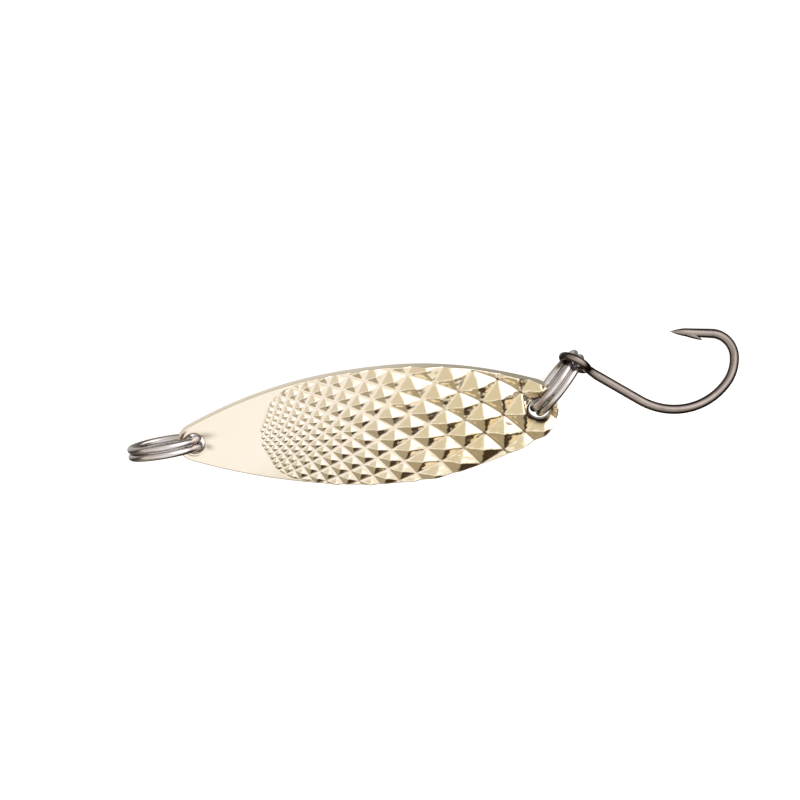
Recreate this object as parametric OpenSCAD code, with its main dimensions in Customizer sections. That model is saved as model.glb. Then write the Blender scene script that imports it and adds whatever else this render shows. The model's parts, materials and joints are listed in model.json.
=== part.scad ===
// Spoon lure: a die-struck metal blade with a faceted face, a split ring
// at each end and a single barbed hook.
//
// Frame: millimetres, +Z up. The blade lies along X with its nose at -X, its
// tail at +X and its faceted face up. The origin is the centre of the nose
// split ring, where the line is tied.

/* [Blade] */
// Length of the blade from nose tip to tail tip
blade_len = 35; // [30:1:45]
// Widest width of the blade
blade_w = 11; // [9:0.5:14]
// Thickness of the blade plate below the facets
blade_t = 1.0; // [0.8:0.1:1.4]
// Lengthwise bend radius of the blade from its crown to its tail
tail_bend_r = 60; // [45:5:120]
// Reverse bend radius that flattens the blade towards its nose
nose_bend_r = 80; // [60:5:160]
// Crosswise crown radius of the blade
crown_r = 21; // [18:1:40]

/* [Holes] */
// Diameter of the hole for the nose ring
nose_hole_d = 1.8; // [1.7:0.1:2.0]
// Diameter of the hole for the tail ring
tail_hole_d = 2.0; // [1.9:0.1:2.2]

/* [Facets] */
// Length of the first coarse facet behind the middle of the blade
coarse_facet = 3.0; // [2.6:0.1:3.4]
// Growth of each coarse facet over the one before it, towards the tail
coarse_growth = 1.056; // [1.02:0.002:1.08]
// Length of the first fine facet ahead of the middle of the blade
fine_facet = 1.845; // [1.6:0.05:2.1]
// Shrinkage of each fine facet against the one before it, towards the nose
fine_shrink = 0.862; // [0.84:0.002:0.9]
// Height of a facet as a share of its own width
facet_rise = 0.24; // [0.1:0.01:0.3]
// Radius of the round front of the faceted area
front_r = 4.6; // [4:0.1:6]

/* [Split rings] */
// Outer diameter of each split ring
ring_od = 6.9; // [6.7:0.1:7.2]
// Diameter of the split ring wire
ring_wire = 0.65; // [0.6:0.01:0.68]

/* [Hook] */
// Diameter of the hook wire
hook_wire = 0.87; // [0.8:0.01:0.9]
// Inside diameter of the hook eye
eye_id = 1.8; // [1.75:0.05:1.95]
// Length of the straight shank from the middle of the eye
shank_len = 6.89; // [6:0.1:12]
// Radius of the first, widest part of the bend
bend_r1 = 6.62; // [5.8:0.1:7.5]
// Radius of the middle part of the bend
bend_r2 = 3.95; // [3.6:0.1:4.5]
// Radius of the last, tightest part of the bend
bend_r3 = 2.12; // [1.9:0.1:2.5]
// Length of the ground point beyond the bend
point_len = 4.1; // [3.7:0.1:4.6]

/* [Hidden] */

$fn = 64;
wire_fn = 24;                // facets round the eye, coils and barb
tube_sides = 16;             // sides of the wires swept as polyhedra
ring_color = [0.74, 0.71, 0.72];

// ---- Blade surface -------------------------------------------------------
// Blade places are measured from the middle of its length.
crown_x = 0.1 * blade_len;   // crown of the lengthwise bend
flex_x = -0.114 * blade_len; // where the bend reverses
flex_slope = (crown_x - flex_x) / tail_bend_r;
flex_z = -pow(flex_x - crown_x, 2) / (2 * tail_bend_r);

// Height of the face along its middle line, then anywhere on it.
function spine(x) = x >= flex_x
    ? -pow(x - crown_x, 2) / (2 * tail_bend_r)
    : flex_z + flex_slope * (x - flex_x) + pow(x - flex_x, 2) / (2 * nose_bend_r);
function face_z(x, y) = spine(x) - y * y / (2 * crown_r);
function mid_plate(x) = spine(x) - blade_t / 2;

// ---- Blade outline -------------------------------------------------------
// Each side is a power curve from the widest point, closed by a round end
// that is tangent to it.
wide_x = 0.0686 * blade_len;
nose_span = 0.634 * blade_len;
nose_pow = 2.05;
tail_span = 0.532 * blade_len;
tail_pow = 1.95;
nose_cap_x = -0.4686 * blade_len;   // where the sides meet the round ends
tail_cap_x = 0.4486 * blade_len;
side_steps = 40;
cap_steps = 14;

function half_w(x) = blade_w / 2 * (x < wide_x
    ? 1 - pow((wide_x - x) / nose_span, nose_pow)
    : 1 - pow((x - wide_x) / tail_span, tail_pow));

// Angle at which the side closes in towards the tail at x.
slope_step = 0.01;
function lean(x) =
    atan((half_w(x - slope_step) - half_w(x + slope_step)) / (2 * slope_step));

function side(k) =
    let (x = nose_cap_x + (tail_cap_x - nose_cap_x) * k / side_steps)
    [x, half_w(x)];

// Inner points of the round end that starts at x; dir is 1 at the tail and
// -1 at the nose.
function cap(x, dir) =
    let (r = half_w(x) / cos(lean(x)), centre_x = x - r * sin(lean(x)))
    [for (k = [1 : cap_steps - 1])
        let (a = (90 - dir * lean(x)) * (1 - 2 * k / cap_steps))
        [centre_x + dir * r * cos(a), dir * r * sin(a)]];

outline = concat(
    [for (k = [0 : side_steps]) side(k)],
    cap(tail_cap_x, 1),
    [for (k = [side_steps : -1 : 0]) [side(k)[0], -side(k)[1]]],
    cap(nose_cap_x, -1));

// ---- Facet lattice -------------------------------------------------------
// Two mirrored families of bowed lines cross the blade. Line k of each
// family meets the axis at stop(k); k = 0 is the break between the fine and
// the coarse facets.
break_x = -0.018 * blade_len;
last_fine = -9;              // lines ahead of this one are evenly spaced
plain_step = 1.3;            // spacing of those lines
function fine_len(count) = fine_facet * (1 - pow(fine_shrink, count)) / (1 - fine_shrink);
function stop(k) = break_x + (k >= 0
    ? coarse_facet * (pow(coarse_growth, k) - 1) / (coarse_growth - 1)
    : k >= last_fine ? -fine_len(-k)
    : -fine_len(-last_fine) - plain_step * (last_fine - k));

// Lengthwise run of the lines for each millimetre across, and how strongly
// crossings off the axis are carried towards the nose. Both are fitted curves.
function skew(x) = max(1.0, 1.42 + 0.0153 * x - 0.0034 * x * x);
function bow(x) = max(0.03, 0.138 - 0.0088 * x);

// Crossing of line i of the first family and line j of the second.
function cross_at(i, j) =
    let (x = (stop(i) + stop(j)) / 2, y = (stop(j) - stop(i)) / (2 * skew(x)))
    [x - bow(x) * y * y, y];
function on_face(p, up) = [p[0], p[1], face_z(p[0], p[1]) + up];

// The cells that are built: a band wide and long enough for the blade.
line_lo = -17;
line_hi = 10;
line_count = line_hi - line_lo + 1;
band_reach = 11;             // largest |i - j|, to either side of the axis
band_nose = -32;             // smallest and largest i + j
band_tail = 10;
function has(i, j) = i >= line_lo && j >= line_lo && i < line_hi && j < line_hi
    && abs(i - j) <= band_reach && i + j >= band_nose && i + j <= band_tail;

// Corners of a cell in order round it, and the neighbour across the edge
// from corner k to corner k + 1, all as steps in [i, j].
corners = [[0, 0], [0, 1], [1, 1], [1, 0]];
neighbours = [[-1, 0], [0, 1], [1, 0], [0, -1]];

// The faceted area is everything behind a round front; ahead of it the nose
// is plain.
front_x = -0.151 * blade_len;
function faceted(p) = p[0] > front_x || norm([p[0] - front_x, p[1]]) < front_r;

// Middle of a cell, raised to a point where the blade is faceted.
function apex(i, j) =
    let (q = [for (c = corners) cross_at(i + c[0], j + c[1])],
        middle = (q[0] + q[1] + q[2] + q[3]) / 4)
    on_face(middle, faceted(middle) ? facet_rise * norm(q[1] - q[3]) : 0);

// The plate before it is blanked out: a field of four-sided points over a
// smooth back.
module facet_field() {
    lines = [line_lo : line_hi];
    layer = line_count * line_count;     // points in each of the three layers
    function top(p) = (p[0] - line_lo) * line_count + p[1] - line_lo;
    function back(p) = layer + top(p);
    function peak(p) = 2 * layer + top(p);
    points = concat(
        [for (i = lines, j = lines) on_face(cross_at(i, j), 0)],
        [for (i = lines, j = lines) on_face(cross_at(i, j), -blade_t)],
        [for (i = lines, j = lines) apex(i, j)]);
    cells = [for (i = lines, j = lines) if (has(i, j)) [i, j]];
    faces = concat(
        // Four slopes of each point
        [for (k = [0 : 3], c = cells)
            [top(c + corners[k]), top(c + corners[(k + 1) % 4]), peak(c)]],
        // Back of the plate, two triangles to a cell
        [for (c = cells)
            [back(c), back(c + corners[3]), back(c + corners[1])]],
        [for (c = cells)
            [back(c + corners[3]), back(c + corners[2]), back(c + corners[1])]],
        // Walls where a cell has no neighbour
        [for (k = [3 : -1 : 0], c = cells)
            let (beside = c + neighbours[k], a = c + corners[(k + 1) % 4], b = c + corners[k])
            if (!has(beside[0], beside[1])) [top(a), top(b), back(b), back(a)]]);
    polyhedron(points = points, faces = faces);
}

// ---- Where the links sit -------------------------------------------------
ring_r = (ring_od - ring_wire) / 2;          // radius of the coil's middle line
coil_gap = 0.03;                             // air between the two coils
coil_step = ring_wire + coil_gap;
jog = 40;                                    // angle taken to change coils

nose_hole_x = -0.454 * blade_len;
tail_hole_x = 0.45 * blade_len;

// Nose ring: stands upright through the nose, turned nose_yaw from the axis
// and leaning nose_lean, its wire nose_slip behind the middle of the hole.
nose_yaw = 4.5;
nose_lean = 9;
nose_slip = 0.35;
nose_jog_at = 320;
nose_ring_at = [nose_hole_x - (ring_r - nose_slip) * cos(nose_yaw),
                -(ring_r - nose_slip) * sin(nose_yaw),
                mid_plate(nose_hole_x)];

// Tail ring: stands upright at the tail, turned tail_yaw from the axis and
// leaning tail_lean. Its wire lies tail_slip inside the middle of the hole
// and tail_side off to one side of it.
tail_yaw = 47.6;
tail_lean = 4;
tail_slip = 0.28;
tail_side = 0.15;
tail_jog_at = 220;
tail_ring_at = [
    tail_hole_x + (ring_r - tail_slip) * cos(tail_yaw) - tail_side * sin(tail_yaw),
    (ring_r - tail_slip) * sin(tail_yaw) + tail_side * cos(tail_yaw),
    mid_plate(tail_hole_x)];

// Hook eye: round the upper, outer part of the tail ring.
eye_angle = 25;                              // angle round the tail ring
eye_inset = 0.1;                             // eye centre inside the coil's middle line
hook_heading = -36.4;                        // direction of the shank
hook_roll = -28;                             // bend hangs down about the shank
eye_out = (ring_r - eye_inset) * cos(eye_angle);
eye_up = (ring_r - eye_inset) * sin(eye_angle);
eye_at = tail_ring_at + [
    eye_out * cos(tail_yaw) - eye_up * sin(tail_lean) * sin(tail_yaw),
    eye_out * sin(tail_yaw) + eye_up * sin(tail_lean) * cos(tail_yaw),
    eye_up * cos(tail_lean)];

// ---- Swept wire ----------------------------------------------------------
// Faces of a closed tube whose points run ring by ring, from ring 0 to last.
function tube_faces(last) =
    let (n = tube_sides)
    concat(
        [[for (s = [n - 1 : -1 : 0]) s]],
        [[for (s = [0 : n - 1]) last * n + s]],
        [for (k = [0 : last - 1], s = [0 : n - 1])
            [k * n + s, k * n + (s + 1) % n, (k + 1) * n + s]],
        [for (k = [0 : last - 1], s = [0 : n - 1])
            [(k + 1) * n + s, k * n + (s + 1) % n, (k + 1) * n + (s + 1) % n]]);
// The same faces for rings that are numbered the other way round.
function flipped(faces) = [for (f = faces) [for (k = [len(f) - 1 : -1 : 0]) f[k]]];

// ---- Blade ---------------------------------------------------------------
cut_h = 20;                  // height of the cutting prisms, well past the plate

module blade() {
    color([0.86, 0.74, 0.48]) translate(-nose_ring_at)
    difference() {
        // Zeros in resize leave every size as it is.
        resize([0, 0, 0]) intersection() {
            translate([0, 0, -cut_h / 2]) linear_extrude(cut_h) polygon(outline);
            facet_field();
        }
        translate([nose_hole_x, 0, -cut_h / 2]) cylinder(h = cut_h, d = nose_hole_d);
        translate([tail_hole_x, 0, -cut_h / 2]) cylinder(h = cut_h, d = tail_hole_d);
    }
}

// ---- Split rings ---------------------------------------------------------
// Wire carried from one coil to the other over the jog angle, centred on 270.
module jog_wire() {
    steps = 10;
    r = ring_wire / 2 * 0.98;            // a little thinner than the coils
    overlap = 1.5;                       // angle run into each coil
    function angle_at(k) = 270 - jog / 2 - overlap + (jog + 2 * overlap) * k / steps;
    // Smooth rise from the lower coil to the upper one.
    function lift(k) = let (t = min(max((angle_at(k) - 270) / jog + 0.5, 0), 1))
        coil_step * (t * t * (3 - 2 * t) - 0.5);
    function rim(k, s) =
        let (a = angle_at(k), b = 360 * s / tube_sides, reach = ring_r + r * cos(b))
        [reach * cos(a), reach * sin(a), lift(k) + r * sin(b)];
    polyhedron(
        points = [for (k = [0 : steps], s = [0 : tube_sides - 1]) rim(k, s)],
        faces = tube_faces(steps));
}

// Two coils of wire lying side by side, joined by the jog. The ring's axis
// is Z and the jog is at the angle jog_at.
module split_ring(jog_at) rotate([0, 0, jog_at - 270]) {
    for (s = [-1, 1]) translate([0, 0, s * coil_step / 2])
        rotate([0, 0, 270 + jog / 2]) rotate_extrude(angle = 360 - jog)
            translate([ring_r, 0]) circle(d = ring_wire, $fn = wire_fn);
    jog_wire();
}

module nose_split_ring() {
    color(ring_color)
        rotate([0, 0, nose_yaw]) rotate([90 - nose_lean, 0, 0]) split_ring(nose_jog_at);
}

module tail_split_ring() {
    color(ring_color) translate(tail_ring_at - nose_ring_at)
        rotate([0, 0, tail_yaw]) rotate([90 - tail_lean, 0, 0]) split_ring(tail_jog_at);
}

// ---- Hook ----------------------------------------------------------------
bend_a1 = 80.7;              // angle turned by each part of the bend
bend_a2 = 37.7;
bend_a3 = 88.8;
eye_wire = 0.72;
eye_r = (eye_id + eye_wire) / 2;

// The middle line of the wire lies in the plane of the bend. Places on it are
// [x, y, heading]. The shank runs along +X and each bend turns left.
function turn(p, r, a) =
    [p[0] + r * (sin(p[2] + a) - sin(p[2])), p[1] - r * (cos(p[2] + a) - cos(p[2])), p[2] + a];
shank_end = [shank_len, 0, 0];
bend_end1 = turn(shank_end, bend_r1, bend_a1);
bend_end2 = turn(bend_end1, bend_r2, bend_a2);
bend_end3 = turn(bend_end2, bend_r3, bend_a3);

// Distance along the wire from the middle of the eye to the end of each bend.
bend_s1 = shank_len + bend_r1 * bend_a1 * PI / 180;
bend_s2 = bend_s1 + bend_r2 * bend_a2 * PI / 180;
bend_s3 = bend_s2 + bend_r3 * bend_a3 * PI / 180;

function line_at(s) =
    s < shank_len ? [s, 0, 0]
    : s < bend_s1 ? turn(shank_end, bend_r1, (s - shank_len) / (bend_s1 - shank_len) * bend_a1)
    : s < bend_s2 ? turn(bend_end1, bend_r2, (s - bend_s1) / (bend_s2 - bend_s1) * bend_a2)
    : s < bend_s3 ? turn(bend_end2, bend_r3, (s - bend_s2) / (bend_s3 - bend_s2) * bend_a3)
    : [bend_end3[0] + (s - bend_s3) * cos(bend_end3[2]),
       bend_end3[1] + (s - bend_s3) * sin(bend_end3[2]), bend_end3[2]];

// Wire radius: full along the shank and bend, a slight taper, then the tip.
taper_end = 0.6;             // share of the point that has the slight taper
taper_loss = 0.15;           // share of the radius lost over it
tip_r = 0.04;
tip_pow = 1.6;
function wire_at(s) = let (t = (s - bend_s3) / point_len)
    t < 0 ? hook_wire / 2
    : t < taper_end ? hook_wire / 2 * (1 - taper_loss * t / taper_end)
    : max(tip_r, hook_wire / 2 * (1 - taper_loss)
        * (1 - pow((t - taper_end) / (1 - taper_end), tip_pow)));

module hook_body() {
    stations = concat([eye_r, (eye_r + shank_len) / 2],
        [for (k = [0 : 9]) shank_len + (bend_s1 - shank_len) * k / 10],
        [for (k = [0 : 7]) bend_s1 + (bend_s2 - bend_s1) * k / 8],
        [for (k = [0 : 7]) bend_s2 + (bend_s3 - bend_s2) * k / 8],
        [for (k = [0 : 10]) bend_s3 + point_len * k / 10]);
    polyhedron(
        points = [for (s = stations, c = [0 : tube_sides - 1])
            let (p = line_at(s), r = wire_at(s), b = 360 * c / tube_sides)
            [p[0] - r * cos(b) * sin(p[2]), p[1] + r * cos(b) * cos(p[2]), r * sin(b)]],
        faces = flipped(tube_faces(len(stations) - 1)));
}

// A sliver raised on the inside of the bend, aimed back from the tip.
barb_at = 0.62;              // share of the point's length
barb_side = 0.12;            // root's offset from the wire's middle line
barb_turn = 161;             // direction against that of the point
module barb() {
    translate([bend_end3[0], bend_end3[1], 0]) rotate([0, 0, bend_end3[2]])
        translate([point_len * barb_at, barb_side, 0])
            rotate([0, 0, barb_turn]) rotate([0, 90, 0])
                cylinder(h = 1.75, r1 = 0.24, r2 = 0.03, $fn = wire_fn);
}

module single_hook() {
    color([0.42, 0.38, 0.37]) translate(eye_at - nose_ring_at)
    rotate([hook_roll, 0, hook_heading]) {
        rotate([90, 0, 0]) rotate_extrude()
            translate([eye_r, 0]) circle(d = eye_wire, $fn = wire_fn);
        hook_body();
        barb();
    }
}

blade();
nose_split_ring();
tail_split_ring();
single_hook();
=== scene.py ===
import json
import math
import bpy
import bmesh
import numpy as np
from mathutils import Matrix, Vector


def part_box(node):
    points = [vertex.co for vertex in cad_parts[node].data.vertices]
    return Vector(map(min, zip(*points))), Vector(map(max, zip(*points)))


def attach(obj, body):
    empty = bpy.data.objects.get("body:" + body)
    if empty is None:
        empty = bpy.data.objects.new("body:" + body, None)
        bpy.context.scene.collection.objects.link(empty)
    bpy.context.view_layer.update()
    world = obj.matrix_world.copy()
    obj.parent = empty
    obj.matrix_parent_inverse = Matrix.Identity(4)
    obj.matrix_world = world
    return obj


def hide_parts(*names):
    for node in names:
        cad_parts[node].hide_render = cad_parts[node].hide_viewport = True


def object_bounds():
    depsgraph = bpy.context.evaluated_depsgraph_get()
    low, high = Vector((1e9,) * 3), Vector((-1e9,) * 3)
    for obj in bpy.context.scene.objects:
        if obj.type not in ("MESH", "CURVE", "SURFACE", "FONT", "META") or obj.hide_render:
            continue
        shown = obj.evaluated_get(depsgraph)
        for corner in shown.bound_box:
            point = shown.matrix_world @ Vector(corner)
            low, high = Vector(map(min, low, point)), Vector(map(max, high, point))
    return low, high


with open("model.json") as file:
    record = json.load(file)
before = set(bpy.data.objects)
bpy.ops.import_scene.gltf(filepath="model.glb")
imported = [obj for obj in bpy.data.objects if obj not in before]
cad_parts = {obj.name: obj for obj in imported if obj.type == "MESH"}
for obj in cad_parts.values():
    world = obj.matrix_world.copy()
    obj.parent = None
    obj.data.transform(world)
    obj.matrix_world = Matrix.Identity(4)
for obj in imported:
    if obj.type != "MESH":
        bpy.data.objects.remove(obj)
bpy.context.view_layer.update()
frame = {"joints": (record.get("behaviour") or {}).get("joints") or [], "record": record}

MM = 0.001
JOINTS = {j["child"]: j for j in frame["joints"]}
EYE_AXIS = frame["record"]["mounts"][0]["axis"]

# --------------------------------------------------------------------------
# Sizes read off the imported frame, in millimetres
# --------------------------------------------------------------------------


def mm(v):
    return np.array([v[0], v[1], v[2]], float) / MM


b_lo, b_hi = (mm(c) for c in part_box("blade"))
NOSE_HOLE = mm(JOINTS["nose_ring"]["pos_m"])
TAIL_HOLE = mm(JOINTS["tail_ring"]["pos_m"])
TAIL_RING = mm(JOINTS["hook"]["pos_m"])
L = 35.0 * (b_hi[0] - b_lo[0]) / 34.92
W = (b_hi[1] - b_lo[1]) / 2
T = 1.0
MID = np.array([(b_lo[0] + b_hi[0]) / 2, (b_lo[1] + b_hi[1]) / 2, 0.0])

# Blade bend, as the CAD bends it
CROWN_X, FLEX_X, TAIL_R, NOSE_R, CROSS_R = 0.1 * L, -0.114 * L, 60.0, 80.0, 21.0
FLEX_S = (CROWN_X - FLEX_X) / TAIL_R
FLEX_Z = -((FLEX_X - CROWN_X) ** 2) / (2 * TAIL_R)


def spine(x):
    x = np.asarray(x, float)
    return np.where(
        x >= FLEX_X,
        -((x - CROWN_X) ** 2) / (2 * TAIL_R),
        FLEX_Z + FLEX_S * (x - FLEX_X) + (x - FLEX_X) ** 2 / (2 * NOSE_R),
    )


def face(x, y):
    return spine(x) - np.asarray(y, float) ** 2 / (2 * CROSS_R)


NOSE_X = NOSE_HOLE[0] - MID[0]
TAIL_X = TAIL_HOLE[0] - MID[0]
# The nose hole's middle sets the height of the blade.
MID[2] = NOSE_HOLE[2] - (float(spine(NOSE_X)) - T / 2)


def new_object(name, verts, faces, smooth=True, sharp=None):
    me = bpy.data.meshes.new(name)
    me.from_pydata([tuple(v) for v in np.asarray(verts) * MM], [], [tuple(f) for f in faces])
    me.validate(clean_customdata=False)
    me.update()
    me.polygons.foreach_set("use_smooth", [smooth] * len(me.polygons))
    if sharp is not None:
        me.set_sharp_from_angle(angle=math.radians(sharp))
    ob = bpy.data.objects.new(name, me)
    bpy.context.scene.collection.objects.link(ob)
    return ob


# --------------------------------------------------------------------------
# Blade outline
# --------------------------------------------------------------------------
WIDE_X = 0.0686 * L
NOSE_SPAN, NOSE_POW = 0.634 * L, 2.05
TAIL_SPAN, TAIL_POW = 0.532 * L, 1.95


def half_w(x):
    x = np.asarray(x, float)
    n = W * (1 - np.power(np.maximum(WIDE_X - x, 0) / NOSE_SPAN, NOSE_POW))
    t = W * (1 - np.power(np.maximum(x - WIDE_X, 0) / TAIL_SPAN, TAIL_POW))
    return np.where(x < WIDE_X, n, t)


def lean(x):
    return math.atan((float(half_w(x - 0.01)) - float(half_w(x + 0.01))) / 0.02)


def upper_outline(count):
    """Points on the upper half of the outline from nose tip to tail tip, even along its length."""
    nx, tx = -0.4686 * L, 0.4486 * L
    ln, lt = lean(nx), lean(tx)
    nr, tr = float(half_w(nx)) / math.cos(ln), float(half_w(tx)) / math.cos(lt)
    nc, tc = nx - nr * math.sin(ln), tx - tr * math.sin(lt)
    a = np.linspace(0, math.pi / 2 + ln, 200)
    nose = np.stack([nc - nr * np.cos(a), nr * np.sin(a)], 1)
    xs = np.linspace(nx, tx, 1500)[1:-1]
    side = np.stack([xs, half_w(xs)], 1)
    a = np.linspace(math.pi / 2 - lt, 0, 200)
    tail = np.stack([tc + tr * np.cos(a), tr * np.sin(a)], 1)
    p = np.concatenate([nose, side, tail])
    s = np.concatenate([[0], np.cumsum(np.hypot(*np.diff(p, axis=0).T))])
    u = np.linspace(0, s[-1], count)
    q = np.stack([np.interp(u, s, p[:, 0]), np.interp(u, s, p[:, 1])], 1)
    q[0, 1] = q[-1, 1] = 0.0
    return q


# --------------------------------------------------------------------------
# Facet lattice: the same two mirrored families of bowed lines as the CAD
# --------------------------------------------------------------------------
BREAK_X = -0.018 * L
COARSE, GROW, FINE, SHRINK, PLAIN = 3.0, 1.056, 1.845, 0.862, 1.3
LAST_FINE = -9
FINE_ALL = FINE * (1 - SHRINK ** 9) / (1 - SHRINK)
FRONT_X, FRONT_R = -0.151 * L, 4.6
RISE = 0.24


def stop(k):
    k = np.asarray(k, float)
    return BREAK_X + np.where(
        k >= 0,
        COARSE * (np.power(GROW, k) - 1) / (GROW - 1),
        np.where(
            k >= LAST_FINE,
            -FINE * (1 - np.power(SHRINK, -k)) / (1 - SHRINK),
            -FINE_ALL - PLAIN * (LAST_FINE - k),
        ),
    )


def stop_index(x):
    """The line number, with a fraction, that meets the axis at x."""
    d = np.asarray(x, float) - BREAK_X
    coarse = np.log(np.maximum(1 + d * (GROW - 1) / COARSE, 1e-6)) / math.log(GROW)
    fine = -np.log(np.maximum(1 + d * (1 - SHRINK) / FINE, 1e-6)) / math.log(SHRINK)
    plain = LAST_FINE + (d + FINE_ALL) / PLAIN
    return np.where(d >= 0, coarse, np.where(d >= -FINE_ALL, fine, plain))


def skew(m):
    return np.maximum(1.0, 1.42 + 0.0153 * m - 0.0034 * m * m)


def bow(m):
    return np.maximum(0.03, 0.138 - 0.0088 * m)


def crossing(i, j):
    si, sj = stop(i), stop(j)
    m = (si + sj) / 2
    y = (sj - si) / (2 * skew(m))
    return m - bow(m) * y * y, y


def lattice(x, y):
    """Fractions across the lattice cell that holds (x, y), the cell's numbers and its width."""
    y2 = y * y
    m = (x + 0.138 * y2) / (1 + 0.0088 * y2)
    m = np.where(m > 12.27, x + 0.03 * y2, m)
    s = skew(m)
    ki, kj = stop_index(m - s * y), stop_index(m + s * y)
    i, j = np.floor(ki), np.floor(kj)
    ax, ay = crossing(i + 1, j)
    bx, by = crossing(i, j + 1)
    return ki - i, kj - j, i, j, np.hypot(ax - bx, ay - by)


def front_share(x, y):
    """1 inside the faceted area, 0 on the plain nose, with a soft step between."""
    d = np.where(x > FRONT_X, 1.0, FRONT_R - np.hypot(x - FRONT_X, y))
    t = np.clip(d / 0.16 + 0.2, 0, 1)
    return t * t * (3 - 2 * t)


def relief(x, y):
    fi, fj, i, j, width = lattice(x, y)
    a, b = np.abs(fi - 0.5) * 2, np.abs(fj - 0.5) * 2
    # Four-sided point with slightly rounded ridges and a narrow flat groove.
    k = 15.0
    top = np.log(np.exp(k * a) + np.exp(k * b)) / k
    groove = np.clip(0.055 / width, 0.012, 0.06)
    g = np.clip((1 - top - groove) / (1 - groove), 0, 1)
    # The fine points are struck softly, so their sides are hollow; the coarse ones are flat.
    t = np.clip((x + 4.0) / 13.0, 0, 1)
    t = t * t * (3 - 2 * t)
    g = np.power(g, 1.42 - 0.34 * t)
    share = front_share(x, y)
    # Hand-cut die: every side is a little wavy.
    wave = (
        np.sin(5.1 * x + 2.3 * y + 0.7 * i) * np.sin(4.3 * y - 1.9 * x + 1.3 * j)
        + 0.6 * np.sin(8.7 * y + 3.1 * x + 2.1 * j - i)
        + 0.35 * np.sin(9.1 * x - 6.3 * y + 1.7 * i) * np.sin(7.9 * y + 5.2 * x + 0.9 * j)
    )
    h = g * RISE * width * (0.94 + 0.06 * t) + 0.019 * wave * np.clip(g * 6, 0, 1) * (0.35 + 0.65 * t)
    # Painted shade in the grooves: deep brown along the falling lines and at the crossings near the tail.
    far = np.clip((x - 5.5) / 5.0, 0, 1)
    near_a, near_b = (1 - a) * width, (1 - b) * width
    painted_shade = np.exp(-(near_b / 0.16) ** 2) * 0.85 + np.exp(-(near_a / 0.42) ** 2 - (near_b / 0.42) ** 2)
    painted_shade = np.clip(painted_shade, 0, 1) * far * share
    return h * share, g, share, i, j, painted_shade


def hole_edge(x, y):
    """Height taken off round a hole's mouth, for a soft edge, and a low struck ring round it."""
    d = np.zeros_like(x)
    q = np.hypot(x - NOSE_X, y) - 0.9
    d += 0.05 * np.exp(-((q - 0.17) / 0.13) ** 2)
    d -= 0.06 * np.exp(-(np.maximum(q, 0) / 0.05) ** 2)
    return d


def flat_near_holes(x, y):
    """The facets fade out on a small flat round the tail hole."""
    q = np.hypot(x - TAIL_X, y)
    t = np.clip((q - 1.0) / 0.26, 0, 1)
    return 0.25 + 0.75 * t * t * (3 - 2 * t)


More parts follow.
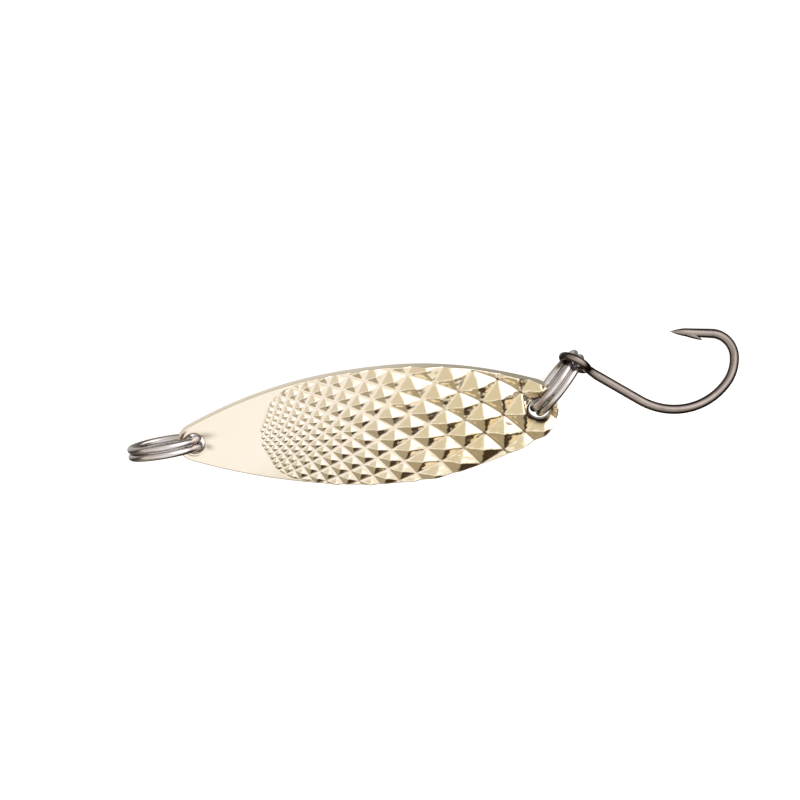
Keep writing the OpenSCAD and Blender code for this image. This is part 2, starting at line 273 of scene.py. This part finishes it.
def build_blade():
    nu, nv = 620, 176
    edge = 0.10
    out = upper_outline(nu + 1)
    d = np.gradient(out, axis=0)
    n = np.stack([-d[:, 1], d[:, 0]], 1)
    n /= np.linalg.norm(n, axis=1)[:, None]
    n[0], n[-1] = (-1, 0), (1, 0)

    def inset(t):
        p = out - n * t
        p[0, 1] = p[-1, 1] = 0.0
        return p

    def loop(p):
        """Closed loop from the nose tip along +Y to the tail tip and back along -Y."""
        low = p[-2:0:-1] * np.array([1, -1])
        return np.concatenate([p, low])

    verts, faces = [], []
    attr = {"relief": [], "share": [], "warm": [], "painted_shade": []}

    def top_z(x, y):
        h, g, share, i, j, painted_shade = relief(x, y)
        f = flat_near_holes(x, y)
        z = face(x, y) + h * f + hole_edge(x, y)
        warm = np.clip((x + 5.0) / 15.0, 0, 1)
        # Painted shadow: a dark band round the tail hole's mouth.
        q = np.hypot(x - TAIL_X, y)
        painted_shade = np.maximum(painted_shade, 0.9 * np.exp(-(np.maximum(q - 1.0, 0) / 0.3) ** 2))
        # Painted reflection of the nose ring's coils: two soft dark marks fan out behind the nose hole.
        u = x - NOSE_X
        painted_shade = painted_shade + 0.50 * np.exp(-((u - 0.95) / 0.80) ** 2 - ((y - 0.70 + 0.06 * u) / 0.30) ** 2)
        painted_shade = painted_shade + 0.50 * np.exp(-((u - 1.20) / 0.42) ** 2 - ((y + 0.42 + 0.25 * (u - 1.20)) / 0.28) ** 2)
        return z, g * f, share, (warm, painted_shade)

    def add(x, y, z, g, s, c):
        c, e = c if isinstance(c, tuple) else (c, c * 0)
        start = sum(len(v) for v in verts)
        verts.append(np.stack([x, y, z], 1))
        attr["relief"].append(g)
        attr["share"].append(s)
        attr["warm"].append(c)
        attr["painted_shade"].append(e)
        return start

    # Upper surface: one row of points across the blade at each station.
    p = inset(edge)
    v = np.linspace(-1, 1, nv + 1)
    rows = []
    for k in range(nu + 1):
        if k in (0, nu):
            x, y = p[k:k + 1, 0], p[k:k + 1, 1]
        else:
            y = p[k, 1] * v
            x = np.full_like(y, p[k, 0])
        z, g, s, c = top_z(x, y)
        rows.append(add(x, y, z, g, s, c))
    for k in range(nu):
        a, b = rows[k], rows[k + 1]
        if k == 0:
            faces += [(a, b + c, b + c + 1) for c in range(nv)]
        elif k == nu - 1:
            faces += [(a + c, b, a + c + 1) for c in range(nv)]
        else:
            faces += [(a + c, b + c, b + c + 1, a + c + 1) for c in range(nv)]
    top_rim = (
        [rows[0]] + [rows[k] + nv for k in range(1, nu)] + [rows[nu]]
        + [rows[k] for k in range(nu - 1, 0, -1)]
    )
    # Rounded rim: rings of points down the side of the plate.
    m = 2 * nu
    prev = top_rim
    steps = [(math.pi / 2) * t / 4 for t in range(1, 5)]
    profile = [(edge * (1 - math.sin(a)), edge * (1 - math.cos(a)), 0) for a in steps]
    profile += [(0.0, t, 1) for t in (0.35, 0.65)]
    profile += [(edge * (1 - math.cos(a)), edge * (1 - math.sin(a)), 2) for a in [(math.pi / 2) * t / 4 for t in range(0, 5)]]
    zt_full, g_full, s_full, c_full = top_z(*loop(p).T)
    for off, dz, kind in profile:
        q = loop(inset(off))
        bottom = face(q[:, 0], q[:, 1]) - T
        if kind == 0:
            z = zt_full - dz
        elif kind == 1:
            z = (zt_full - edge) * (1 - dz) + (bottom + edge) * dz
        else:
            z = bottom + dz
        g = g_full * (1 - dz if kind == 1 else (1 if kind == 0 else 0))
        start = add(q[:, 0], q[:, 1], z, g * 0 + (0.5 if kind == 1 else 0.4), s_full * 0, s_full * 0)
        ring = [start + c for c in range(m)]
        faces += [(prev[c], ring[c], ring[(c + 1) % m], prev[(c + 1) % m]) for c in range(m)]
        prev = ring
    # Smooth back, with far fewer points across it.
    nb = 24
    q = inset(edge)
    vb = np.linspace(-1, 1, nb + 1)[1:-1]
    inner = {}
    for k in range(1, nu):
        y = q[k, 1] * vb
        x = np.full_like(y, q[k, 0])
        z = face(x, y) - T
        one = np.ones_like(x)
        inner[k] = add(x, y, z, one * 0.5, one * 0, one * 0)

    def back_row(k):
        lo = prev[2 * nu - k]
        hi = prev[k]
        return [lo] + [inner[k] + c for c in range(nb - 1)] + [hi]

    for k in range(nu):
        if k == 0:
            r = back_row(1)
            faces += [(prev[0], r[c + 1], r[c]) for c in range(nb)]
        elif k == nu - 1:
            r = back_row(k)
            faces += [(r[c], r[c + 1], prev[nu]) for c in range(nb)]
        else:
            a, b = back_row(k), back_row(k + 1)
            faces += [(a[c], a[c + 1], b[c + 1], b[c]) for c in range(nb)]
    V = np.concatenate(verts) + MID
    me = bpy.data.meshes.new("blade_plate")
    me.from_pydata([tuple(v) for v in V * MM], [], faces)
    for name, parts in attr.items():
        at = me.attributes.new(name, "FLOAT", "POINT")
        at.data.foreach_set("value", np.concatenate(parts).astype(np.float32))
    me.update()
    bm = bmesh.new()
    bm.from_mesh(me)
    bmesh.ops.recalc_face_normals(bm, faces=bm.faces)
    bm.to_mesh(me)
    bm.free()
    ob = bpy.data.objects.new("blade_plate", me)
    bpy.context.scene.collection.objects.link(ob)
    return ob


def cut_hole(ob, x, r, bore_shade):
    """A punched hole with a softened edge on each side."""
    z = float(face(x, 0.0))
    c = 0.07
    prof = [
        (r + c + 0.02, z + 1.80), (r + c + 0.02, z + 0.06), (r + 0.35 * c, z - 0.02), (r, z - 0.09),
        (r, z - T + 0.09), (r + 0.35 * c, z - T + 0.02), (r + c, z - T - 0.035), (r + c + 0.25, z - T - 0.30),
    ]
    seg = 96
    verts, faces = [], []
    for s in range(seg):
        a = 2 * math.pi * s / seg
        for pr, pz in prof:
            verts.append((x + pr * math.cos(a), pr * math.sin(a), pz))
    n = len(prof)
    for s in range(seg):
        t = (s + 1) % seg
        for k in range(n - 1):
            faces.append((s * n + k, s * n + k + 1, t * n + k + 1, t * n + k))
    faces.append(tuple(s * n for s in range(seg)))
    faces.append(tuple(s * n + n - 1 for s in range(seg - 1, -1, -1)))
    cutter = new_object("hole_cutter", np.array(verts) + MID, faces)
    bm = bmesh.new()
    bm.from_mesh(cutter.data)
    bmesh.ops.recalc_face_normals(bm, faces=bm.faces)
    bm.to_mesh(cutter.data)
    bm.free()
    mod = ob.modifiers.new("hole", "BOOLEAN")
    mod.operation = "DIFFERENCE"
    mod.solver = "EXACT"
    mod.object = cutter
    dg = bpy.context.evaluated_depsgraph_get()
    me = bpy.data.meshes.new_from_object(ob.evaluated_get(dg))
    old = ob.data
    ob.modifiers.clear()
    ob.data = me
    bpy.data.meshes.remove(old)
    bpy.data.objects.remove(cutter)
    # Painted shade: the punched wall is darkened, darker than the plated faces.
    n = len(me.vertices)
    co, painted_shade = np.empty(n * 3), np.empty(n, np.float32)
    me.vertices.foreach_get("co", co)
    me.attributes["painted_shade"].data.foreach_get("value", painted_shade)
    co = co.reshape(-1, 3) / MM - MID
    wall = np.hypot(co[:, 0] - x, co[:, 1]) < r + c + 0.03
    painted_shade[wall] = np.maximum(painted_shade[wall], bore_shade)
    me.attributes["painted_shade"].data.foreach_set("value", painted_shade)


# --------------------------------------------------------------------------
# Wire work
# --------------------------------------------------------------------------


def sweep(name, path, radii, ref, sides=28, flat=None, caps=True):
    """Round wire along a path. ref is a direction the wire's section is squared to."""
    P = np.asarray(path, float)
    n = len(P)
    t = np.gradient(P, axis=0)
    t /= np.linalg.norm(t, axis=1)[:, None]
    ref = np.asarray(ref, float)
    if ref.ndim == 1:
        ref = np.tile(ref, (n, 1))
    b = ref - (ref * t).sum(1)[:, None] * t
    b /= np.linalg.norm(b, axis=1)[:, None]
    a = np.cross(b, t)
    ang = np.linspace(0, 2 * math.pi, sides, endpoint=False)
    verts, faces = [], []
    ra = np.asarray(radii, float)
    rb = ra if flat is None else np.asarray(flat, float)
    for k in range(n):
        for s in ang:
            verts.append(P[k] + a[k] * math.cos(s) * ra[k] + b[k] * math.sin(s) * rb[k])
    for k in range(n - 1):
        for s in range(sides):
            s2 = (s + 1) % sides
            faces.append((k * sides + s, k * sides + s2, (k + 1) * sides + s2, (k + 1) * sides + s))
    if caps:
        verts.append(P[0])
        verts.append(P[-1])
        c0, c1 = n * sides, n * sides + 1
        for s in range(sides):
            s2 = (s + 1) % sides
            faces.append((c0, s2, s))
            faces.append((c1, (n - 1) * sides + s, (n - 1) * sides + s2))
    return verts, faces


def ring_object(name, centre, direction, up, jog_at, od=6.9, wire=0.65, gap=0.03, jog=40.0):
    """Two flat coils joined by a jog. direction points from the ring's middle along its
    own X, up along its own Y; jog_at is the angle of the jog from X towards Y."""
    ex = np.array(direction, float)
    ey = np.array(up, float)
    ez = np.cross(ex, ey)
    R = (od - wire) / 2
    step = wire + gap
    start, total = jog_at + jog / 2, 2 * 360 - jog
    n = 420
    deg = np.linspace(0, total, n)
    d1 = 360 - jog
    t = np.clip((deg - d1) / jog, 0, 1)
    lift = step * (t * t * (3 - 2 * t) - 0.5)
    a = np.radians(start + deg)
    # No spread is added to the coils where one crosses to the other.
    spread = 0.0
    path = (
        np.outer(np.cos(a) * (R + spread), ex) + np.outer(np.sin(a) * (R + spread), ey)
        + np.outer(lift, ez) + centre
    )
    rad = np.full(n, wire / 2)
    # Sheared ends with a small burr-free chamfer
    end = 0.06
    arc = np.radians(deg) * R
    for k in range(n):
        e = min(arc[k], arc[-1] - arc[k])
        if e < end:
            rad[k] = wire / 2 * (0.86 + 0.14 * math.sqrt(max(0.0, 1 - (1 - e / end) ** 2)))
    verts, faces = sweep(name, path, rad, ez, sides=32)
    return new_object(name, verts, faces, smooth=True, sharp=50)


# Nose ring: from its middle, at the origin of the frame, to the nose hole.
def unit(v):
    v = np.asarray(v, float)
    return v / np.linalg.norm(v)


n_axis = unit(EYE_AXIS)
nose_dir = unit([n_axis[1], -n_axis[0], 0])
nose_up = unit(np.cross(nose_dir, n_axis))
nose_ring = ring_object("nose_ring_coils", np.zeros(3), nose_dir, nose_up, 320)

t_axis = unit(JOINTS["hook"]["axis"])
tail_dir = unit([-t_axis[1], t_axis[0], 0])
tail_up = unit(np.cross(t_axis, tail_dir))
tail_ring = ring_object("tail_ring_coils", TAIL_RING, tail_dir, tail_up, 220)

# --------------------------------------------------------------------------
# Hook
# --------------------------------------------------------------------------
HOOK_WIRE, EYE_WIRE, EYE_ID = 0.87, 0.72, 1.8
SHANK, R1, R2, R3, POINT = 6.89, 6.62, 3.95, 2.12, 4.1
A1, A2, A3 = (math.radians(v) for v in (80.7, 37.7, 88.8))
HEADING, ROLL = math.radians(-36.4), math.radians(-28)
EYE_AT = math.radians(25)
EYE_RIDE = (6.9 - 0.65) / 2 - 0.1
eye_c = TAIL_RING + EYE_RIDE * (math.cos(EYE_AT) * tail_dir + math.sin(EYE_AT) * tail_up)
hook_turn = np.array(Matrix.Rotation(HEADING, 3, "Z") @ Matrix.Rotation(ROLL, 3, "X"))


def hook_line(count=420):
    """Middle line of shank, bend and point in the plane of the bend, with headings."""
    seg = [(SHANK, 0.0), (R1 * A1, A1), (R2 * A2, A2), (R3 * A3, A3), (POINT, 0.0)]
    x = y = h = 0.0
    pts, heads, ss = [(0.0, 0.0)], [0.0], [0.0]
    s = 0.0
    for length, turn in seg:
        k = max(2, int(count * length / 30))
        for c in range(1, k + 1):
            f = c / k
            if turn:
                r = length / turn
                px = x + r * (math.sin(h + turn * f) - math.sin(h))
                py = y - r * (math.cos(h + turn * f) - math.cos(h))
            else:
                px, py = x + math.cos(h) * length * f, y + math.sin(h) * length * f
            pts.append((px, py))
            heads.append(h + turn * f)
            ss.append(s + length * f)
        x, y = pts[-1]
        h += turn
        s += length
    return np.array(pts), np.array(heads), np.array(ss)


def build_hook():
    eye_r = (EYE_ID + EYE_WIRE) / 2
    pts, heads, ss = hook_line()
    total = ss[-1]
    s4 = total - POINT
    keep = ss >= eye_r + 1.15
    pts, heads, ss = pts[keep], heads[keep], ss[keep]
    # Eye: the wire leaves the shank, goes round the eye and closes beside the shank.
    gap = math.radians(24)
    turn = np.linspace(gap, 2 * math.pi - math.radians(10), 110)
    ex = eye_r * np.cos(turn)
    ez = eye_r * np.sin(turn)
    eye = np.stack([ex, np.zeros_like(ex), ez], 1)[::-1]
    neck0, neck1 = eye[-1], np.array([pts[0][0], pts[0][1], 0.0])
    t0 = unit([math.sin(gap), 0, -math.cos(gap)]) * 1.0
    f = np.linspace(0, 1, 26)[1:-1]
    h00, h10 = 2 * f**3 - 3 * f**2 + 1, f**3 - 2 * f**2 + f
    h01, h11 = -2 * f**3 + 3 * f**2, f**3 - f**2
    reach = 0.95
    neck = (
        np.outer(h00, neck0) + np.outer(h10, t0 * reach) + np.outer(h01, neck1)
        + np.outer(h11, np.array([1.0, 0, 0]) * reach)
    )
    body = np.stack([pts[:, 0], pts[:, 1], np.zeros(len(pts))], 1)
    path = np.concatenate([eye, neck, body])
    n_eye, n_neck = len(eye), len(neck)
    rad = np.concatenate([
        np.full(n_eye, EYE_WIRE / 2),
        np.linspace(EYE_WIRE / 2, HOOK_WIRE / 2, n_neck + 2)[1:-1],
        np.full(len(body), HOOK_WIRE / 2),
    ])
    flat = rad.copy()
    for k in range(12):
        e = math.sqrt(max(0.0, 1 - (1 - k / 11) ** 2))
        rad[k] *= 0.55 + 0.45 * e
        flat[k] *= 0.55 + 0.45 * e
    for k in range(len(body)):
        s = ss[k]
        q = (s - s4) / POINT
        w = HOOK_WIRE / 2
        if q > 0:
            r = w * (1 - 0.13 * q / 0.6) if q < 0.6 else w * 0.87 * (1 - ((q - 0.6) / 0.4) ** 1.7)
            rad[n_eye + n_neck + k] = max(r, 0.03)
            flat[n_eye + n_neck + k] = max(r * (1 - 0.12 * min(1, q / 0.5)), 0.028)
        else:
            # The bend is pressed a little flat, so it is deeper in its own plane.
            m = math.exp(-((s - (SHANK + 10.5)) / 4.5) ** 2)
            rad[n_eye + n_neck + k] = w * (1 + 0.0 * m)
            flat[n_eye + n_neck + k] = w * (1 - 0.10 * m)
    ref = np.tile(np.array([0, 0, 1.0]), (len(path), 1))
    ref[:n_eye] = np.array([0, 1.0, 0])
    for k in range(n_neck):
        q = (k + 1) / (n_neck + 1)
        q = q * q * (3 - 2 * q)
        ref[n_eye + k] = np.array([0, math.cos(q * math.pi / 2), math.sin(q * math.pi / 2)])
    verts, faces = sweep("hook_wire", path, rad, ref, sides=36, flat=flat)
    verts = np.array(verts)
    rot = hook_turn
    ob = new_object("hook_wire", verts @ rot.T + eye_c, faces, smooth=True, sharp=60)
    # Barb: a sliver cut up from the inside of the point, aimed back from the tip.
    base_s, tip_s = POINT * 0.60, POINT * 0.24
    p4 = hook_line()[0]
    end, start = p4[-1], None
    h5 = A1 + A2 + A3
    dirn = np.array([math.cos(h5), math.sin(h5), 0])
    left = np.array([-math.sin(h5), math.cos(h5), 0])
    root = np.array([end[0], end[1], 0]) - dirn * POINT
    n = 18
    f = np.linspace(0, 1, n)
    along = root + np.outer(base_s + (tip_s - base_s) * f, dirn)
    lift = 0.08 + 0.56 * f**1.2
    path = along + np.outer(lift, left)
    w = 0.28 * (1 - f**2.2) + 0.03
    h = 0.30 * (1 - f**2.0) + 0.03
    bv, bf = sweep("barb", path, h, np.array([0, 0, 1.0]), sides=20, flat=w)
    barb = new_object("hook_barb", np.array(bv) @ rot.T + eye_c, bf, smooth=True, sharp=50)
    mod = ob.modifiers.new("barb", "BOOLEAN")
    mod.operation = "UNION"
    mod.solver = "EXACT"
    mod.object = barb
    dg = bpy.context.evaluated_depsgraph_get()
    me = bpy.data.meshes.new_from_object(ob.evaluated_get(dg))
    ob.modifiers.clear()
    ob.data = me
    bpy.data.objects.remove(barb)
    me.polygons.foreach_set("use_smooth", [True] * len(me.polygons))
    me.set_sharp_from_angle(angle=math.radians(50))
    return ob


blade = build_blade()
cut_hole(blade, NOSE_X, 0.9, 0.3)
cut_hole(blade, TAIL_X, 1.0, 0.72)
blade.data.polygons.foreach_set("use_smooth", [True] * len(blade.data.polygons))
blade.data.set_sharp_from_angle(angle=math.radians(80))
hook = build_hook()

# --------------------------------------------------------------------------
# Materials
# --------------------------------------------------------------------------


def material(name):
    m = bpy.data.materials.new(name)
    m.use_nodes = True
    nt = m.node_tree
    nt.nodes.clear()
    out = nt.nodes.new("ShaderNodeOutputMaterial")
    b = nt.nodes.new("ShaderNodeBsdfPrincipled")
    nt.links.new(b.outputs[0], out.inputs[0])
    return m, nt, b


def node(nt, kind, **kw):
    n = nt.nodes.new(kind)
    for k, v in kw.items():
        if k.startswith("in_"):
            n.inputs[k[3:].replace("_", " ")].default_value = v
        else:
            setattr(n, k, v)
    return n


def ramp(nt, stops):
    n = nt.nodes.new("ShaderNodeValToRGB")
    cr = n.color_ramp
    while len(cr.elements) > 1:
        cr.elements.remove(cr.elements[-1])
    cr.elements[0].position, cr.elements[0].color = stops[0][0], stops[0][1]
    for p, c in stops[1:]:
        e = cr.elements.new(p)
        e.color = c
    return n


def grey(v):
    return (v, v, v, 1)


def gold():
    m, nt, b = material("struck_gold_plate")
    lk = nt.links.new
    co = node(nt, "ShaderNodeTexCoord")
    n1 = node(nt, "ShaderNodeTexNoise", in_Scale=180.0, in_Detail=5.0, in_Roughness=0.6)
    lk(co.outputs["Object"], n1.inputs["Vector"])
    cool = ramp(nt, [(0.3, (0.95, 0.855, 0.715, 1)), (0.7, (0.975, 0.885, 0.765, 1))])
    lk(n1.outputs["Fac"], cool.inputs["Fac"])
    rich = ramp(nt, [(0.3, (0.93, 0.80, 0.57, 1)), (0.7, (0.96, 0.855, 0.66, 1))])
    lk(n1.outputs["Fac"], rich.inputs["Fac"])
    wm = node(nt, "ShaderNodeAttribute", attribute_name="warm")
    col = node(nt, "ShaderNodeMix", data_type="RGBA", blend_type="MIX")
    lk(wm.outputs["Fac"], col.inputs["Factor"])
    lk(cool.outputs["Color"], col.inputs[6])
    lk(rich.outputs["Color"], col.inputs[7])
    # Painted shade: in the faceted area the groove bottoms are multiplied a shade darker.
    at = node(nt, "ShaderNodeAttribute", attribute_name="relief")
    sh = node(nt, "ShaderNodeAttribute", attribute_name="share")
    dark = ramp(nt, [(0.0, (0.93, 0.91, 0.92, 1)), (0.04, grey(1.0))])
    lk(at.outputs["Fac"], dark.inputs["Fac"])
    mix = node(nt, "ShaderNodeMix", data_type="RGBA", blend_type="MULTIPLY")
    lk(sh.outputs["Fac"], mix.inputs["Factor"])
    lk(col.outputs[2], mix.inputs[6])
    lk(dark.outputs["Color"], mix.inputs[7])
    # Painted shade and painted reflection marks: the mask darkens the grooves, the tail hole's mouth, the hole walls
    # and two marks behind the nose hole towards deep brown.
    dm = node(nt, "ShaderNodeAttribute", attribute_name="painted_shade")
    deep = node(nt, "ShaderNodeMix", data_type="RGBA", blend_type="MIX")
    lk(dm.outputs["Fac"], deep.inputs["Factor"])
    lk(mix.outputs[2], deep.inputs[6])
    deep.inputs[7].default_value = (0.13, 0.075, 0.045, 1)
    lk(deep.outputs[2], b.inputs["Base Color"])
    b.inputs["Metallic"].default_value = 1.0
    n2 = node(nt, "ShaderNodeTexNoise", in_Scale=900.0, in_Detail=4.0)
    lk(co.outputs["Object"], n2.inputs["Vector"])
    rr = ramp(nt, [(0.3, grey(0.10)), (0.7, grey(0.20))])
    lk(n2.outputs["Fac"], rr.inputs["Fac"])
    lk(rr.outputs["Color"], b.inputs["Roughness"])
    n3 = node(nt, "ShaderNodeTexNoise", in_Scale=700.0, in_Detail=3.0)
    lk(co.outputs["Object"], n3.inputs["Vector"])
    bump = node(nt, "ShaderNodeBump", in_Strength=0.12, in_Distance=0.00003)
    lk(n3.outputs["Fac"], bump.inputs["Height"])
    lk(bump.outputs["Normal"], b.inputs["Normal"])
    return m


def wire_metal(name, light, dark, r0, r1, streak, side):
    m, nt, b = material(name)
    lk = nt.links.new
    co = node(nt, "ShaderNodeTexCoord")
    n1 = node(nt, "ShaderNodeTexNoise", in_Scale=420.0, in_Detail=6.0, in_Roughness=0.65)
    lk(co.outputs["Object"], n1.inputs["Vector"])
    col = ramp(nt, [(0.25, dark + (1,)), (0.75, light + (1,))])
    lk(n1.outputs["Fac"], col.inputs["Fac"])
    # Painted shade: the colour is darkened where the wire turns away from the view.
    lw = node(nt, "ShaderNodeLayerWeight", in_Blend=0.5)
    edge_shade = ramp(nt, [(0.04, grey(1.0)), (0.22, (side[0], side[0] * 0.94, side[0] * 0.92, 1)), (0.55, grey(side[1]))])
    lk(lw.outputs["Facing"], edge_shade.inputs["Fac"])
    mul = node(nt, "ShaderNodeMix", data_type="RGBA", blend_type="MULTIPLY")
    mul.inputs["Factor"].default_value = 1.0
    lk(col.outputs["Color"], mul.inputs[6])
    lk(edge_shade.outputs["Color"], mul.inputs[7])
    lk(mul.outputs[2], b.inputs["Base Color"])
    b.inputs["Metallic"].default_value = 1.0
    n2 = node(nt, "ShaderNodeTexNoise", in_Scale=streak, in_Detail=5.0)
    lk(co.outputs["Object"], n2.inputs["Vector"])
    rr = ramp(nt, [(0.3, grey(r0)), (0.7, grey(r1))])
    lk(n2.outputs["Fac"], rr.inputs["Fac"])
    lk(rr.outputs["Color"], b.inputs["Roughness"])
    bump = node(nt, "ShaderNodeBump", in_Strength=0.15, in_Distance=0.00002)
    lk(n2.outputs["Fac"], bump.inputs["Height"])
    lk(bump.outputs["Normal"], b.inputs["Normal"])
    return m


GOLD = gold()
NICKEL = wire_metal("bright_nickel_wire", (0.80, 0.77, 0.78), (0.68, 0.64, 0.66), 0.16, 0.28, 1500.0, (0.88, 0.66))
SMOKE = wire_metal("smoked_nickel_wire", (0.44, 0.375, 0.345), (0.26, 0.215, 0.205), 0.14, 0.26, 1300.0, (0.32, 0.09))
for ob, mat in ((blade, GOLD), (nose_ring, NICKEL), (tail_ring, NICKEL), (hook, SMOKE)):
    ob.data.materials.clear()
    ob.data.materials.append(mat)

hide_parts("blade")
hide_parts("nose_split_ring")
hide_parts("tail_split_ring")
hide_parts("single_hook")
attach(blade, "blade")
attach(nose_ring, "nose_ring")
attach(tail_ring, "tail_ring")
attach(hook, "hook")

# --------------------------------------------------------------------------
# Floor, light and camera
# --------------------------------------------------------------------------
lo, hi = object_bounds()
FLOOR_Z = lo.z - 0.0002
me = bpy.data.meshes.new("floor")
s = 1.6
me.from_pydata([(-s, -s, FLOOR_Z), (s, -s, FLOOR_Z), (s, s, FLOOR_Z), (-s, s, FLOOR_Z)], [], [(0, 1, 2, 3)])
floor = bpy.data.objects.new("floor", me)
bpy.context.scene.collection.objects.link(floor)
fm, fnt, fb = material("pale_floor")
fb.inputs["Base Color"].default_value = (0.93, 0.93, 0.93, 1)
fb.inputs["Roughness"].default_value = 0.9
fb.inputs["Emission Color"].default_value = (1, 1, 1, 1)
fb.inputs["Emission Strength"].default_value = 0.6
me.materials.append(fm)
floor.visible_glossy = False

# Camera directions: looking down on the lure from 16 degrees off the vertical,
# rolled so that the blade rises 5.6 degrees to the right.
tau, rho = math.radians(16.0), math.radians(5.59)
cdir = np.array([0, math.sin(tau), math.cos(tau)])
r0, u0 = np.array([1.0, 0, 0]), np.array([0, math.cos(tau), -math.sin(tau)])
cr = math.cos(rho) * r0 - math.sin(rho) * u0
cu = math.sin(rho) * r0 + math.cos(rho) * u0

# Soft studio: a dim room with large soft panels in it, drawn on the world.
world = bpy.data.worlds.new("studio")
bpy.context.scene.world = world
world.use_nodes = True
wt = world.node_tree
wt.nodes.clear()
w_out = wt.nodes.new("ShaderNodeOutputWorld")
w_bg = wt.nodes.new("ShaderNodeBackground")
wt.links.new(w_bg.outputs[0], w_out.inputs[0])
w_dir = wt.nodes.new("ShaderNodeTexCoord").outputs["Generated"]
current = node(wt, "ShaderNodeRGB")
current.outputs[0].default_value = (0.10, 0.085, 0.075, 1)
current = current.outputs[0]
# Each panel: angle from straight up to the camera, bearing in the picture
# (0 right, 90 up), half-angle of the full panel, of its faded edge, colour.
PANELS = [
    (0, 0, 66, 92, (0.98, 0.95, 0.88)),
    (150, 90, 30, 50, (0.33, 0.32, 0.27)),
    (133, 140, 14, 44, (0.78, 0.76, 0.70)),
    (46, 150, 12, 44, (0.74, 0.69, 0.57)),
    (90, 248, 22, 46, (0.42, 0.37, 0.27)),
    (114, 306, 26, 50, (0.060, 0.038, 0.024)),
    (58, 34, 16, 46, (1.9, 1.9, 1.88)),
    (26, 262, 22, 36, (1.03, 1.02, 1.01)),
]
for tilt, bearing, inner, outer, colour in PANELS:
    t, k = math.radians(tilt), math.radians(bearing)
    d = math.cos(t) * cdir + math.sin(t) * (math.cos(k) * cr + math.sin(k) * cu)
    dot = node(wt, "ShaderNodeVectorMath", operation="DOT_PRODUCT")
    wt.links.new(w_dir, dot.inputs[0])
    dot.inputs[1].default_value = tuple(d)
    step = node(wt, "ShaderNodeMapRange", interpolation_type="SMOOTHSTEP")
    step.inputs["From Min"].default_value = math.cos(math.radians(outer))
    step.inputs["From Max"].default_value = math.cos(math.radians(inner))
    wt.links.new(dot.outputs["Value"], step.inputs["Value"])
    mix = node(wt, "ShaderNodeMix", data_type="RGBA", blend_type="MIX")
    wt.links.new(step.outputs["Result"], mix.inputs["Factor"])
    wt.links.new(current, mix.inputs[6])
    mix.inputs[7].default_value = colour + (1,)
    current = mix.outputs[2]
wt.links.new(current, w_bg.inputs["Color"])
w_bg.inputs["Strength"].default_value = 1.0

# Camera: a long lens.
aim = MID + 2.88 * cr + 2.735 * cu
dist = 620.0
cam_data = bpy.data.cameras.new("camera")
cam = bpy.data.objects.new("camera", cam_data)
bpy.context.scene.collection.objects.link(cam)
cam.matrix_world = Matrix((
    (cr[0], cu[0], cdir[0], (aim + cdir * dist)[0] * MM),
    (cr[1], cu[1], cdir[1], (aim + cdir * dist)[1] * MM),
    (cr[2], cu[2], cdir[2], (aim + cdir * dist)[2] * MM),
    (0, 0, 0, 1),
))
frame_mm = 800 / 10.97
cam_data.sensor_width = 36.0
cam_data.lens = 36.0 * dist / frame_mm
cam_data.clip_start, cam_data.clip_end = 0.01, 10.0
bpy.context.scene.camera = cam
bpy.context.scene.view_settings.view_transform = "Standard"
